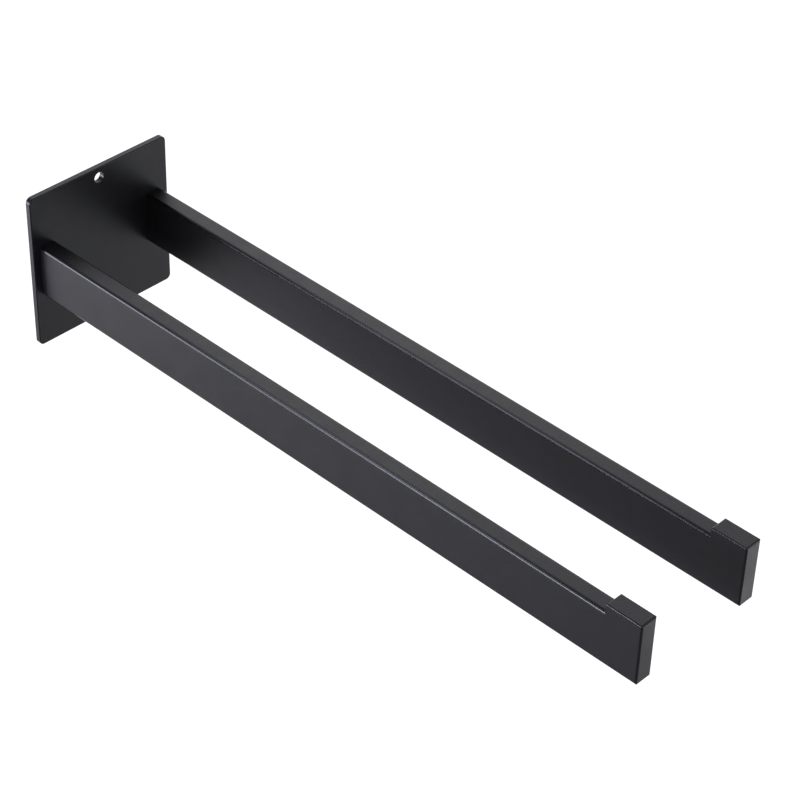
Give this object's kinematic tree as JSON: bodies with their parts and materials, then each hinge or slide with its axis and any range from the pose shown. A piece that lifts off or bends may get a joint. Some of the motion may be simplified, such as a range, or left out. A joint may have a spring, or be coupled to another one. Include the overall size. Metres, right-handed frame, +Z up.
{
  "type": "double towel rail",
  "caption": "Wall-mounted towel rail: a square wall plate carries parallel straight arms of rectangular tube, each with a raised lip at its tip.",
  "frame": {"origin": "middle of the plate's back face, where it lies on the wall", "axes": "+Y into the wall, so the rails run towards -Y; +Z up; +X to the right as seen facing the wall"},
  "size_m": [0.09, 0.4, 0.09],
  "materials": {
    "black_coat": "satin black powder coat on mild steel, with a fine texture",
    "plug_steel": "sawn and milled bright steel, hidden in the tube",
    "screw_zinc": "bright zinc plate"
  },
  "bodies": {
    "root": {"wall_plate": "black_coat", "left_rail_tube": "black_coat", "right_rail_tube": "black_coat", "left_end_stop": "black_coat", "right_end_stop": "black_coat", "left_root_plug": "plug_steel", "right_root_plug": "plug_steel", "left_upper_rail_screw": "screw_zinc", "left_lower_rail_screw": "screw_zinc", "right_upper_rail_screw": "screw_zinc", "right_lower_rail_screw": "screw_zinc"}
  },
  "joints": []
}
